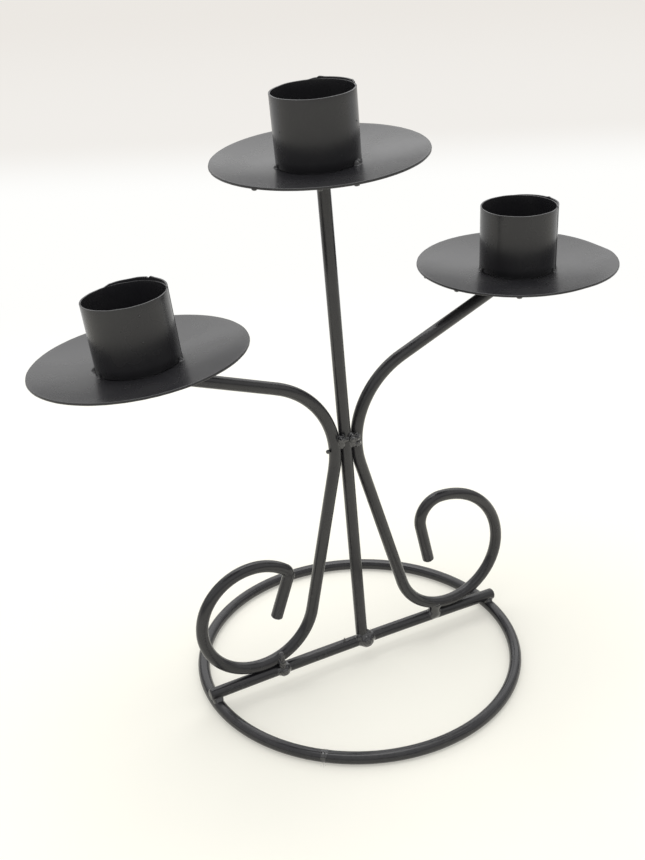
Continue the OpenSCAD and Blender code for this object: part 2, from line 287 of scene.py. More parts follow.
@dataclass(frozen=True)
class Place:
    """Where a turned piece stands.

    Attributes:
        foot_mm: The lowest point on its axis.
        turn: Its three directions as columns, with the axis last.
    """

    foot_mm: Array
    turn: Array

    def to_world(self, points_mm: Array) -> Array:
        """Move points of the piece to their place, in metres."""
        return (self.foot_mm + points_mm @ self.turn.T) * MM

    def to_piece(self, points_mm: Array) -> Array:
        """Express world points in the piece's own directions, in millimetres."""
        return (points_mm - self.foot_mm) @ self.turn

    def spot_mm(self, x: float, y: float, z: float) -> Array:
        """Give the world place of one point of the piece, in millimetres."""
        return self.to_world(np.array([[x, y, z]]))[0] / MM

    @classmethod
    def under_cup(cls, mount: dict, node: Thing, shift_mm: float) -> "Place":
        """Find where a pan lies, from the cup that stands on it.

        Args:
            mount: The record's mount on the cup's axis.
            node: The pan's CAD node.
            shift_mm: Sideways place of the cup on its pan.

        Returns:
            The place of the pan's lowest point.
        """
        axis = np.array(mount["axis"], float)
        axis /= np.linalg.norm(axis)
        side = np.cross([0.0, 1.0, 0.0], axis)
        side /= np.linalg.norm(side)
        middle = np.array(mount["pos_m"], float) / MM
        foot = middle + axis * ((node_points(node) @ axis).min() - middle @ axis) - shift_mm * side
        return cls(foot, np.array([side, np.cross(axis, side), axis]).T)


def node_points(node: Thing) -> Array:
    """Give the points of a CAD node, in millimetres."""
    return np.array([v.co for v in node.data.vertices], float) / MM


# ---- Shader helpers ----


@dataclass(frozen=True)
class Nodes:
    """Short calls for adding and linking shader nodes in one tree."""

    tree: Tree

    def add(self, kind: str, **values: object) -> bpy.types.Node:
        """Add a node.

        Args:
            kind: Blender's name of the node type.
            **values: Properties of the node.

        Returns:
            The new node.
        """
        node = self.tree.nodes.new(kind)
        for name, value in values.items():
            setattr(node, name, value)
        return node

    def link(self, source: Socket, target: Socket) -> None:
        """Link two sockets."""
        self.tree.links.new(source, target)

    def feed(self, target: Socket, value: object) -> None:
        """Link a socket to an input, or set the input to a number or a colour."""
        if isinstance(value, Socket):
            self.link(value, target)
        else:
            target.default_value = value

    def coordinates(self, kind: str) -> Socket:
        """Give one kind of texture coordinates."""
        return self.add("ShaderNodeTexCoord").outputs[kind]

    def parts_of(self, vector: Socket) -> bpy.types.NodeOutputs:
        """Give the three parts of a vector."""
        apart = self.add("ShaderNodeSeparateXYZ")
        self.link(vector, apart.inputs[0])
        return apart.outputs

    def noise(
        self, vector: Socket, scale: Socket | float, detail: float, rough: float = 0.5
    ) -> Socket:
        """Add a noise texture.

        Args:
            vector: Coordinates that the noise reads.
            scale: Waves per metre.
            detail: Number of finer layers.
            rough: Weight of the finer layers.

        Returns:
            The noise value, from 0 to 1.
        """
        node = self.add("ShaderNodeTexNoise")
        self.link(vector, node.inputs["Vector"])
        self.feed(node.inputs["Scale"], scale)
        node.inputs["Detail"].default_value = detail
        node.inputs["Roughness"].default_value = rough
        return node.outputs["Fac"]

    def math(self, operation: str, a: Socket | float, b: Socket | float) -> Socket:
        """Add a math node.

        Args:
            operation: Blender's name of the operation.
            a: First value.
            b: Second value.

        Returns:
            The result.
        """
        node = self.add("ShaderNodeMath", operation=operation)
        self.feed(node.inputs[0], a)
        self.feed(node.inputs[1], b)
        return node.outputs[0]

    def spread(
        self, value: Socket, low: float, high: float, to_low: float = 0.0, to_high: float = 1.0
    ) -> Socket:
        """Map a value smoothly from one range to another, and keep it there.

        Args:
            value: The value to map.
            low: Where the first range begins.
            high: Where it ends.
            to_low: Result at low.
            to_high: Result at high.

        Returns:
            The mapped value.
        """
        node = self.add("ShaderNodeMapRange", interpolation_type="SMOOTHSTEP")
        self.link(value, node.inputs["Value"])
        ends = {"From Min": low, "From Max": high, "To Min": to_low, "To Max": to_high}
        for name, number in ends.items():
            node.inputs[name].default_value = number
        return node.outputs["Result"]

    def blend(self, factor: Socket, a: Socket | Point, b: Socket | Point) -> Socket:
        """Mix two colours.

        Args:
            factor: Share of the second colour.
            a: First colour, linear.
            b: Second colour, linear.

        Returns:
            The mixed colour.
        """
        node = self.add("ShaderNodeMix", data_type="RGBA")
        self.link(factor, node.inputs["Factor"])
        colours = (socket for socket in node.inputs if socket.type == "RGBA")
        for socket, colour in zip(colours, (a, b)):
            self.feed(socket, colour if isinstance(colour, Socket) else (*colour, 1.0))
        return next(socket for socket in node.outputs if socket.type == "RGBA")


def new_material(name: str) -> tuple[Paint, Nodes, bpy.types.NodeInputs]:
    """Make a material.

    Args:
        name: Name of the material.

    Returns:
        The material, its nodes, and the inputs of its Principled BSDF.
    """
    made = bpy.data.materials.new(name)
    made.use_nodes = True
    return made, Nodes(made.node_tree), made.node_tree.nodes["Principled BSDF"].inputs


def new_group(
    name: str, inputs: tuple[str, ...], outputs: tuple[str, ...]
) -> tuple[Nodes, bpy.types.NodeOutputs, bpy.types.NodeInputs]:
    """Make a node group that reads a Vector and some numbers, and gives numbers.

    Args:
        name: Name of the group.
        inputs: Names of the numbers that it reads.
        outputs: Names of the numbers that it gives.

    Returns:
        Its nodes, the sockets that bring its inputs, and the sockets for its outputs.
    """
    group = bpy.data.node_groups.new(name, "ShaderNodeTree")
    face = group.interface
    face.new_socket("Vector", in_out="INPUT", socket_type="NodeSocketVector")
    for way, names in (("INPUT", inputs), ("OUTPUT", outputs)):
        for socket in names:
            face.new_socket(socket, in_out=way, socket_type="NodeSocketFloat")
    nodes = Nodes(group)
    return nodes, nodes.add("NodeGroupInput").outputs, nodes.add("NodeGroupOutput").inputs


def paint_skin_group() -> Tree:
    """Build the node group for the skin of sprayed black paint.

    Returns:
        A group with a Height, a Haze mask and a Dust mask.
    """
    nodes, inside, outside = new_group(
        "paint_skin", ("Grain", "Cloud"), ("Height", "Haze", "Dust")
    )
    place = inside["Vector"]
    peel = nodes.noise(place, inside["Grain"], 3.0, 0.62)
    cloud = nodes.noise(place, inside["Cloud"], 4.0, 0.55)
    dust = nodes.add("ShaderNodeTexVoronoi", feature="F1")
    nodes.link(place, dust.inputs["Vector"])
    dust.inputs["Scale"].default_value = 420.0
    speck = nodes.spread(dust.outputs["Distance"], 0.05, 0.12, 1.0, 0.0)
    rare = nodes.math("GREATER_THAN", nodes.noise(place, 95.0, 1.0), 0.60)
    speck = nodes.math("MULTIPLY", speck, rare)
    height = nodes.math("ADD", peel, nodes.math("MULTIPLY", speck, 0.6))
    nodes.link(height, outside["Height"])
    nodes.link(cloud, outside["Haze"])
    nodes.link(speck, outside["Dust"])
    return nodes.tree


class Drawn(Enum):
    """Plane in which a drawn wire was bent, by the axis square to it."""

    UPRIGHT = 1
    LEVEL = 2


def drawn_wire_group() -> Tree:
    """Build the node group for the length-wise marks that drawing leaves on a wire.

    Returns:
        A group with a Mark mask of long thin streaks.
    """
    nodes, inside, outside = new_group("drawn_wire", ("Across",), ("Mark",))
    slow = nodes.add("ShaderNodeVectorMath", operation="SCALE")
    nodes.link(inside["Vector"], slow.inputs[0])
    slow.inputs["Scale"].default_value = 30.0
    along = nodes.parts_of(slow.outputs[0])
    joined = nodes.add("ShaderNodeCombineXYZ")
    nodes.link(nodes.math("MULTIPLY", inside["Across"], 4.5), joined.inputs["X"])
    nodes.link(nodes.math("ADD", along["X"], along["Y"]), joined.inputs["Y"])
    nodes.link(along["Z"], joined.inputs["Z"])
    streaks = nodes.noise(joined.outputs[0], 1.0, 3.0, 0.6)
    nodes.link(nodes.spread(streaks, 0.35, 0.65), outside["Mark"])
    return nodes.tree


# ---- Paints ----


@dataclass(frozen=True)
class SatinBlack:
    """Satin black paint on wire, sheet or weld metal.

    Attributes:
        name: Name of the material.
        smooth: Roughness of the smoothest places.
        rough: Roughness of the dullest places.
        grain: Waves of the paint's orange peel per metre.
        cloud: Waves of its broad haze per metre.
        coat: How glossy the paint has stayed on top.
        drawn: Which way a drawn wire's marks run, if it has them.
        depth_mm: Height of the peel.
        dark: Colour of the paint, linear.
        light: Colour where it is thin or dusty, linear.
    """

    name: str
    smooth: float
    rough: float
    grain: float = 2200.0
    cloud: float = 120.0
    coat: float = 0.0
    drawn: Drawn | None = None
    depth_mm: float = 0.02
    dark: Point = (0.019, 0.01843, 0.02128)
    light: Point = (0.030, 0.0297, 0.0309)

    def build(self, skin: Tree, marks: Tree) -> Paint:
        """Build the material.

        Args:
            skin: The node group of the paint's skin.
            marks: The node group of a drawn wire's marks.

        Returns:
            The material.
        """
        made, nodes, shader = new_material(self.name)
        place = nodes.coordinates("Object")
        group = nodes.add("ShaderNodeGroup", node_tree=skin)
        nodes.link(place, group.inputs["Vector"])
        group.inputs["Grain"].default_value = self.grain
        group.inputs["Cloud"].default_value = self.cloud
        height = group.outputs["Height"]
        dull = haze = nodes.spread(group.outputs["Haze"], 0.32, 0.68)
        thin = nodes.math("MAXIMUM", nodes.math("MULTIPLY", haze, 0.6), group.outputs["Dust"])
        nodes.link(nodes.blend(thin, self.dark, self.light), shader["Base Color"])
        if self.drawn:
            streaks = nodes.add("ShaderNodeGroup", node_tree=marks)
            nodes.link(place, streaks.inputs["Vector"])
            across = nodes.parts_of(nodes.coordinates("Normal"))[self.drawn.value]
            nodes.link(across, streaks.inputs["Across"])
            mark = streaks.outputs["Mark"]
            height = nodes.math("ADD", height, nodes.math("MULTIPLY", mark, 1.1))
            dull = nodes.math("MULTIPLY", nodes.math("ADD", haze, mark), 0.5)
        nodes.link(nodes.spread(dull, 0.0, 1.0, self.smooth, self.rough), shader["Roughness"])
        shader["Metallic"].default_value = 0.0
        shader["IOR"].default_value = 1.5
        shader["Coat Weight"].default_value = self.coat
        shader["Coat Roughness"].default_value = 0.10
        bump = nodes.add("ShaderNodeBump")
        bump.inputs["Strength"].default_value = 0.5
        bump.inputs["Distance"].default_value = self.depth_mm * MM
        nodes.link(height, bump.inputs["Height"])
        nodes.link(bump.outputs["Normal"], shader["Normal"])
        return made


@dataclass(frozen=True)
class Finishes:
    """The paints of the stand."""

    wire: Paint
    ring: Paint
    sheet: Paint
    bead: Paint

    @classmethod
    def build(cls) -> "Finishes":
        """Build the paints from shared groups for the skin and the wire's marks.

        Returns:
            The paints.
        """
        skin, marks = paint_skin_group(), drawn_wire_group()
        paints = (
            SatinBlack("satin_black_wire", 0.17, 0.31, drawn=Drawn.UPRIGHT),
            SatinBlack("satin_black_ring", 0.19, 0.33, drawn=Drawn.LEVEL),
            SatinBlack("satin_black_sheet", 0.23, 0.29, cloud=60.0),
            SatinBlack("satin_black_bead", 0.13, 0.24, grain=900.0, coat=1.0),
        )
        return cls(*(paint.build(skin, marks) for paint in paints))

    def for_node(self, name: str) -> tuple[Paint, Slot]:
        """Choose the finish of a CAD node.

        Args:
            name: The node's name.

        Returns:
            Its paint and its slot.
        """
        if name in WIRE_NODES:
            return (self.ring if name == "base_ring" else self.wire), Slot.WIRE
        if name.endswith(("pan", "cup")):
            return self.sheet, Slot.SHEET
        return self.bead, Slot.BEAD


# ---- Room ----


@dataclass(frozen=True)
class PaperFloor:
    """Plain pale paper that the stand is photographed on.

    Attributes:
        paper: Colour of the paper round the stand.
        warm: Colour of the paper's open part close to the camera.
        bright: Colour that the picture's middle shows behind the stand.
        far: Colour of the paper at the top of the picture.
        away: Level direction from the camera to the stand.
        half_size: Half the length of the sheet's sides.
    """

    paper: Point = (0.93, 0.915, 0.83)
    warm: Point = (0.975, 0.955, 0.88)
    bright: Point = (1.0, 1.0, 0.985)
    far: Point = (0.84, 0.81, 0.77)
    away: Point = (0.4556, 0.8902, 0.0)
    half_size: float = 6.0

    def build(self) -> None:
        """Lay the sheet of paper on the table plane."""
        s = self.half_size
        mesh = bpy.data.meshes.new("paper_floor")
        mesh.from_pydata([(-s, -s, 0), (s, -s, 0), (s, s, 0), (-s, s, 0)], [], [(0, 1, 2, 3)])
        floor = bpy.data.objects.new("paper_floor", mesh)
        bpy.context.scene.collection.objects.link(floor)
        mesh.materials.append(self.material())
        floor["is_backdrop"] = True

    def material(self) -> Paint:
        """Build the paper's material: lit paper near the stand, lightened by a share of glow that
        is painted light and weakens the stand's cast shadows, and an even pale tone further off.

        Returns:
            The material.
        """
        made, nodes, shader = new_material("pale_paper")
        place = nodes.coordinates("Object")
        mottle = nodes.spread(nodes.noise(place, 9.0, 3.0), 0.3, 0.7)
        paper = nodes.blend(mottle, self.paper, tuple(c * 0.99 for c in self.paper))
        nodes.link(paper, shader["Base Color"])
        shader["Roughness"].default_value = 0.85
        shader["Specular IOR Level"].default_value = 0.1
        glow = nodes.add("ShaderNodeEmission")
        nodes.link(self.tone(nodes, place), glow.inputs["Color"])
        distance = nodes.add("ShaderNodeVectorMath", operation="LENGTH")
        nodes.link(place, distance.inputs[0])
        # Near the stand, camera, glossy and transmission rays see at least 35 % of this glow over
        # the lit paper. That glow is painted light that lightens the cast shadows. Beyond 0.42 m
        # they see the glow alone.
        off = nodes.spread(distance.outputs["Value"], 0.12, 0.42, 0.35, 1.0)
        path = nodes.add("ShaderNodeLightPath").outputs
        seen = nodes.math("MAXIMUM", path["Is Camera Ray"], path["Is Glossy Ray"])
        seen = nodes.math("MAXIMUM", seen, path["Is Transmission Ray"])
        mix = nodes.add("ShaderNodeMixShader")
        nodes.link(nodes.math("MULTIPLY", off, seen), mix.inputs["Fac"])
        nodes.link(made.node_tree.nodes["Principled BSDF"].outputs["BSDF"], mix.inputs[1])
        nodes.link(glow.outputs["Emission"], mix.inputs[2])
        surface = made.node_tree.nodes["Material Output"].inputs["Surface"]
        nodes.link(mix.outputs["Shader"], surface)
        return made

    def tone(self, nodes: Nodes, place: Socket) -> Socket:
        """Grade the tone of the paper's glow with the distance behind the stand.

        Args:
            nodes: The nodes of the material.
            place: Coordinates on the paper.

        Returns:
            The colour, never brighter than 1.
        """
        dot = nodes.add("ShaderNodeVectorMath", operation="DOT_PRODUCT")
        nodes.link(place, dot.inputs[0])
        dot.inputs[1].default_value = self.away
        depth = dot.outputs["Value"]
        back = nodes.spread(depth, 0.62, 0.86, 0.0, 0.75)
        further = nodes.spread(depth, 0.80, 2.0, 0.0, 0.25)
        behind = nodes.blend(nodes.math("ADD", back, further), self.bright, self.far)
        return nodes.blend(nodes.spread(depth, 0.05, 0.30), self.warm, behind)


@dataclass(frozen=True)
class Studio:
    """Camera and plain soft light.

    Attributes:
        eye: Place of the camera.
        azimuth: Direction of view round the object, in degrees.
        elevation: Height of the camera above level, in degrees.
        roll: Roll of the camera, in degrees.
        lens: Focal length in millimetres, for 36 mm on the picture's long side.
        aim: Where the lamps point.
    """

    eye: Point = (-0.148019, -0.27077, 0.237217)
    azimuth: float = -27.022
    elevation: float = 26.312
    roll: float = -2.626
    lens: float = 47.355
    aim: Point = (0.0, 0.0, 0.08)

    def camera(self) -> None:
        """Make the scene's camera."""
        az, el, roll = (math.radians(a) for a in (self.azimuth, self.elevation, self.roll))
        ahead = Vector((-math.sin(az) * math.cos(el), math.cos(az) * math.cos(el), -math.sin(el)))
        right = ahead.cross(Vector((0, 0, 1))).normalized()
        up = right.cross(ahead)
        across = math.cos(roll) * right + math.sin(roll) * up
        upward = -math.sin(roll) * right + math.cos(roll) * up
        data = bpy.data.cameras.new("camera")
        data.lens = self.lens
        data.sensor_width = 36.0
        data.clip_start = 0.01
        data.clip_end = 50.0
        camera = bpy.data.objects.new("camera", data)
        turn = Matrix((across, upward, -ahead)).transposed()
        camera.matrix_world = Matrix.Translation(self.eye) @ turn.to_4x4()
        bpy.context.scene.collection.objects.link(camera)
        bpy.context.scene.camera = camera

    def lamp(self, name: str, place: Point, size: tuple[float, float], watts: float) -> None:
        """Add a soft lamp that points at the middle of the stand.

        Args:
            name: Name of the lamp.
            place: Where it stands.
            size: Its width and height.
            watts: Its power.
        """
        data = bpy.data.lights.new(name, "AREA")
        data.shape = "RECTANGLE"
        data.size, data.size_y = size
        data.energy = watts
        lamp = bpy.data.objects.new(name, data)
        lamp.location = place
        way = Vector(self.aim) - Vector(place)
        lamp.rotation_euler = way.to_track_quat("-Z", "Y").to_euler()
        lamp.visible_camera = False
        bpy.context.scene.collection.objects.link(lamp)

    def light(self) -> None:
        """Add the lamps, and a white surround that is darker near the horizon."""
        self.lamp("top_softbox", (0.05, 0.30, 2.0), (1.5, 1.5), 20.0)
        self.lamp("back_panel", (0.95, 1.95, 1.76), (4.5, 1.9), 22.5)
        world = bpy.data.worlds.new("surround")
        world.use_nodes = True
        shade = world.node_tree.nodes["Background"].inputs
        shade["Color"].default_value = (1.0, 1.0, 0.99, 1.0)
        nodes = Nodes(world.node_tree)
        height = nodes.parts_of(nodes.coordinates("Generated"))["Z"]
        nodes.link(nodes.spread(height, 0.18, 0.40, 0.34, 0.84), shade["Strength"])
        bpy.context.scene.world = world
        bpy.context.scene.view_settings.view_transform = "Standard"


# ---- Drops ----


@dataclass(frozen=True)
class Drop:
    """Small round drop of metal or paint.

    Attributes:
        radius_mm: Its radius.
        stretch: How much longer its upper half is.
        sag: How much wider it is at its bottom than in its middle.
        rings: Number of rings of points.
        around: Number of points in each ring.
    """

    radius_mm: float
    stretch: float = 1.0
    sag: float = 0.0
    rings: int = 9
    around: int = 14

    def points(self) -> Array:
        """Give the drop's points about its middle, in millimetres, ring by ring.

        Returns:
            One row for each point.
        """
        rows = []
        for lift in np.linspace(-1, 1, self.rings):
            r = self.radius_mm * math.sqrt(max(0.0, 1 - lift * lift))
            r = r * (1 + self.sag - self.sag * lift) + 1e-4
            up = self.radius_mm * lift * (self.stretch if lift > 0 else 1.0)
            rows += [(r * math.cos(t), r * math.sin(t), up) for t in turns(self.around)]
        return np.array(rows)

    def add(self, name: str, points: Array, finishes: Finishes) -> None:
        """Add the drop as a piece, with its points already at their place in metres."""
        faces = strip_faces(self.rings, self.around)
        add_piece(name, points, faces, finishes.bead)

    def add_at(self, name: str, spot_mm: Point | Array, finishes: Finishes) -> None:
        """Add the drop upright at a place in the world."""
        self.add(name, (self.points() + np.array(spot_mm)) * MM, finishes)


# ---- Cross bar ----


@dataclass(frozen=True)
class CrossBar:
    """Straight wire across the ring that its welds have drawn down at the ends.

    Attributes:
        left_mm: Where it begins.
        right_mm: Where it ends.
        level_mm: Height of its middle line above the table.
        wire_mm: Thickness of the wire.
        worn_mm: Radius of the worn edge of its sawn left end.
        dome_mm: Length of its rounded right end.
        tip_mm: Radius of the small hole that a flat face closes at each end.
        lift: How far the middle line lies above that level, as factors of 1, x and x squared.
        around: Number of points round the wire.
    """

    left_mm: float = -54.0
    right_mm: float = 54.9
    level_mm: float = 5.55
    wire_mm: float = 3.86
    worn_mm: float = 0.7
    dome_mm: float = 0.9
    tip_mm: float = 0.02
    lift: Point = (0.134, -0.0038, -0.00023)
    around: int = 40

    def height(self, x: float) -> float:
        """Give the height of the middle line at a distance from the stand's middle."""
        return self.level_mm + self.lift[0] + self.lift[1] * x + self.lift[2] * x * x

    def sections(self) -> list[tuple[float, float]]:
        """List the wire's sections: a sawn left end, the length, and a rounded right end.

        Returns:
            Places along the wire and radii.
        """
        r, left, right, worn = self.wire_mm / 2, self.left_mm, self.right_mm, self.worn_mm
        rows = [(left, self.tip_mm), (left, 0.35 * r), (left + 0.04, r - worn)]
        for turn in np.linspace(0, math.pi / 2, 5)[1:]:
            rows.append((left + worn * (1 - math.cos(turn)), r - worn + worn * math.sin(turn)))
        rows += [(x, r) for x in np.linspace(left + 1, right - self.dome_mm - 0.5, 120)]
        for turn in np.linspace(0, math.pi / 2, 9)[:-1]:
            rows.append((right - self.dome_mm * (1 - math.sin(turn)), r * math.cos(turn) ** 0.8))
        rows.append((right, self.tip_mm))
        return rows

    def build(self, node: Thing, finishes: Finishes) -> Thing:
        """Build the bar in place of its CAD node.

        Args:
            node: The CAD node.
            finishes: The paints.

        Returns:
            The piece.
        """
        points = []
        rows = self.sections()
        for x, r in rows:
            for t in turns(self.around):
                points.append((x, r * math.sin(t), self.height(x) + r * math.cos(t)))
        faces = strip_faces(len(rows), self.around)
        faces.append(tuple(range(self.around)))
        faces.append(tuple(range(len(points) - 1, len(points) - self.around - 1, -1)))
        points = np.array(points) * MM
        return add_piece("drawn_cross_bar", points, faces, finishes.wire, node.name)


# ---- Sheet parts ----


@dataclass(frozen=True)
class DrawnEdge:
    """Part of a pan's edge that is drawn out.

    Attributes:
        spread_mm: How far it is drawn out.
        way: Direction of that side, in degrees.
        droop_mm: How far it bends down.
        limit_mm: How far it may lie from the axis along x.
    """

    spread_mm: float
    way: float
    droop_mm: float
    limit_mm: float

    def reach(self, turn: float, radius: float) -> float:
        """Give the distance of the rim from the axis in one direction.

        Args:
            turn: The direction, in radians.
            radius: Radius of the rest of the rim, in millimetres.

        Returns:
            The distance in millimetres.
        """
        if math.sin(turn) > 0:
            return radius
        inner = 0.95 * radius
        off = radius - inner + self.spread_mm
        away = turn - math.radians(self.way)
        drawn = off * math.cos(away) + math.sqrt(inner**2 - (off * math.sin(away)) ** 2)
        flat = self.limit_mm / max(math.cos(turn), 0.2)
        soft = max(0.0, 1 - abs(drawn - flat) / 0.8)
        return max(radius, min(drawn, flat) - 0.2 * soft * soft)


@dataclass(frozen=True)
class DripPan:
    """Shallow dish of thin sheet with a softened edge.

    Attributes:
        side: left, centre or right.
        drips: Small drips of paint under the rim, as direction in degrees and radius.
        drawn: The part of its edge that is drawn out, if any.
        radius_mm: Radius of the rim.
        depth_mm: Depth of the dish.
        sheet_mm: Thickness of the sheet.
        soft_mm: Length of the softened edge.
        around: Number of sections round the pan.
        rings: Number of points from the middle to the edge.
    """

    side: str
    drips: tuple[tuple[float, float], ...] = ()
    drawn: DrawnEdge | None = None
    radius_mm: float = 30.3
    depth_mm: float = 2.7
    sheet_mm: float = 0.7
    soft_mm: float = 0.26
    around: int = 192
    rings: int = 26

    def profile(self, reach: float) -> Array:
        """Draw the section from the middle over the top, round the edge and back below.

        Args:
            reach: Distance of the rim from the axis.

        Returns:
            Points of distance from the axis and height.
        """
        top = (self.radius_mm**2 + self.depth_mm**2) / (2 * self.depth_mm)
        half = self.sheet_mm / 2
        soft = self.soft_mm
        centre = top + self.sheet_mm
        first = 0.004
        edge = math.asin((reach - soft) / (top + half))
        angles = first + (edge - first) * np.linspace(0.0, 1.0, self.rings) ** 0.85
        points = [(top * math.sin(a), centre - top * math.cos(a)) for a in angles]
        out = np.array([math.sin(edge), -math.cos(edge)])
        along = np.array([math.cos(edge), math.sin(edge)])
        middle = np.array([0.0, centre]) + (top + half) * out
        for turn in np.linspace(0, math.pi, 11)[1:-1]:
            over = half * soft_power(math.cos(turn), 0.7) * out
            points.append(tuple(middle - over + soft * math.sin(turn) ** 0.7 * along))
        points += [(centre * math.sin(a), centre - centre * math.cos(a)) for a in angles[::-1]]
        return np.array(points)

    def shape(self) -> tuple[Array, int]:
        """Give the pan's points about its own foot.

        Returns:
            The points in millimetres, and how many each section has.
        """
        rows, shares, drops = [], [], []
        for t in turns(self.around):
            reach, drop = self.radius_mm, 0.0
            if self.drawn:
                reach = self.drawn.reach(t, self.radius_mm)
                drop = self.drawn.droop_mm * (reach - self.radius_mm) / self.drawn.spread_mm
            r, z = self.profile(reach).T
            rows.append(np.column_stack([r * math.cos(t), r * math.sin(t), z]))
            shares.append(r / reach)
            drops.append(np.clip((r - reach + 5.0) / 5.0, 0, 1) ** 2 * drop)
        points, share = np.concatenate(rows), np.concatenate(shares)
        flat = points * [1, 1, 0]
        seed = sum(map(ord, self.side))
        points[:, 2] += 0.02 * ripple(flat, 26.0, seed) * np.clip(share * 1.6 - 0.5, 0, 1)
        points[:, 2] -= np.concatenate(drops)
        trim = np.clip((share - 0.96) / 0.04, 0, 1) * (0.03 + 0.03 * ripple(flat, 3.0, seed + 1))
        points[:, :2] *= (1 - trim / self.radius_mm)[:, None]
        return points, len(rows[0])

    def build(self, node: Thing, mount: dict, finishes: Finishes) -> Place:
        """Build the pan in place of its CAD node.

        Args:
            node: The CAD node.
            mount: The record's mount in the cup above it.
            finishes: The paints.

        Returns:
            Where the pan lies.
        """
        place = Place.under_cup(mount, node, CUP_SHIFT_MM[self.side])
        points, size = self.shape()
        faces = strip_faces(self.around, size, round_rows=True)
        name = f"{self.side}_pan_sheet"
        add_piece(name, place.to_world(points), faces, finishes.sheet, node.name)
        for number, (direction, radius) in enumerate(self.drips, 1):
            a = math.radians(direction)
            drip = Drop(radius, sag=0.15)
            along, across, up = drip.points().T
            along, out = 1.7 * along, self.radius_mm - 0.45 + across
            x = out * math.cos(a) - along * math.sin(a)
            y = out * math.sin(a) + along * math.cos(a)
            hung = place.to_world(np.column_stack([x, y, self.depth_mm - 0.12 + up]))
            drip.add(f"{self.side}_pan_drip_{number}", hung, finishes)
        return place


@dataclass(frozen=True)
class CandleCup:
    """Tube rolled from a strip of sheet whose end laps over its start.

    Attributes:
        side: left, centre or right.
        lap: Directions in degrees from which the outer layer reaches, and at which it dives under.
        edge: Height of the outer layer's edge above the rim, as directions and heights.
        specks: Small drops stuck to the cup, as direction, height and radius.
        flush: Angle over which the outer layer rises from the inner one, in degrees.
        under: How far the inner layer goes on below the outer one, in degrees.
        height_mm: Height of the strip.
        soft_mm: Height of its softened upper edge.
        steps: Number of sections along the strip.
    """

    side: str
    lap: tuple[float, float]
    edge: tuple[tuple[float, float], ...]
    specks: tuple[Point, ...] = ()
    flush: float = 25.0
    under: float = 12.0
    height_mm: float = 19.3
    soft_mm: float = 0.11
    steps: int = 320

    def section(self, middle: float, top: float, thick: float) -> list[tuple[float, float]]:
        """Draw the sheet's section, up its inner face, over the edge and down its outer face.

        Args:
            middle: Distance of the sheet's middle from the cup's axis.
            top: Height of its upper edge.
            thick: Its thickness.

        Returns:
            Points of distance from the axis and height.
        """
        half, soft = thick / 2, self.soft_mm
        heights = np.linspace(0.12, top - soft, 9)
        inner = [(middle - half, z) for z in heights]
        outer = [(middle + half, z) for z in heights[::-1]]
        over = []
        for turn in np.linspace(0, math.pi, 9)[1:-1]:
            across = half * soft_power(math.cos(turn), 0.6)
            over.append((middle - across, top - soft + soft * math.sin(turn) ** 0.6))
        return inner + over + outer + [(middle + half * 0.5, 0.0), (middle - half * 0.5, 0.0)]

    def layer(self, past: float) -> float:
        """Give how far a place on the strip lies out of the inner layer, from 0 to 1.

        Args:
            past: Angle from the strip's outer end, in degrees.

        Returns:
            0 in the inner layer and 1 where the strip lies fully on top of it.
        """
        long = self.lap[1] - self.lap[0]
        rise = 0.18 + 0.82 * ease(np.clip(past / self.flush, 0, 1))
        dive = ease(np.clip((long + self.under - past) / (self.under + 12), 0, 1))
        return float(min(rise, dive))

    def shape(self, foot: float) -> tuple[Array, int]:
        """Give the strip's points about the pan's foot.

        The strip goes once round and on under its own lap, where its hidden end is thinned.

        Args:
            foot: Height of the cup's foot, in millimetres.

        Returns:
            The points in millimetres, and how many each section has.
        """
        start, end = self.lap
        seed = 7 + sum(map(ord, self.side))
        shift = CUP_SHIFT_MM[self.side]
        sheet_mid = (BORE_MM + CUP_SHEET_MM) / 2
        edge_at, edge_up = zip(*self.edge)
        points = []
        for turn in np.linspace(start, end + 385, self.steps):
            past = turn - start
            thin = float(np.clip((turn - end - 362) / 20, 0, 1))
            top = self.height_mm - 0.12 * thin
            left = end - start + self.under - past
            if left > 0:
                top += float(np.interp(turn, edge_at, edge_up)) * min(1.0, left / 8)
            a = math.radians(turn)
            middle = sheet_mid + (CUP_SHEET_MM + 0.04) * self.layer(past)
            section = self.section(middle, top, CUP_SHEET_MM * (1 - 0.5 * thin))
            for r, z in section:
                points.append((shift + r * math.cos(a), r * math.sin(a), foot + z))
        points = np.array(points)
        wave = ripple(points * [1, 1, 0.25], 13.0, seed)[:, None]
        points[:, :2] += 0.05 * wave * (points[:, :2] - [shift, 0]) / sheet_mid
        rim = np.clip((points[:, 2] - foot - self.height_mm + 0.6) / 0.6, 0, 1)
        points[:, 2] += 0.05 * rim * ripple(points, 5.0, seed + 1)
        return points, len(section)

    def build(self, node: Thing, place: Place, finishes: Finishes) -> None:
        """Build the cup in place of its CAD node.

        Args:
            node: The CAD node.
            place: Where its pan lies.
            finishes: The paints.
        """
        foot = place.to_piece(node_points(node))[:, 2].min()
        points, size = self.shape(foot)
        faces = strip_faces(self.steps, size)
        faces.append(tuple(range(size - 1, -1, -1)))
        faces.append(tuple(range(len(points) - size, len(points))))
        name = f"{self.side}_cup_strip"
        add_piece(name, place.to_world(points), faces, finishes.sheet, node.name)
        for number, (direction, height, radius) in enumerate(self.specks, 1):
            a = math.radians(direction)
            r = BORE_MM / 2 + CUP_SHEET_MM + radius * 0.2
            x, y = CUP_SHIFT_MM[self.side] + r * math.cos(a), r * math.sin(a)
            spot = place.spot_mm(x, y, foot + height)
            Drop(radius).add_at(f"{self.side}_cup_speck_{number}", spot, finishes)


# ---- Welds ----


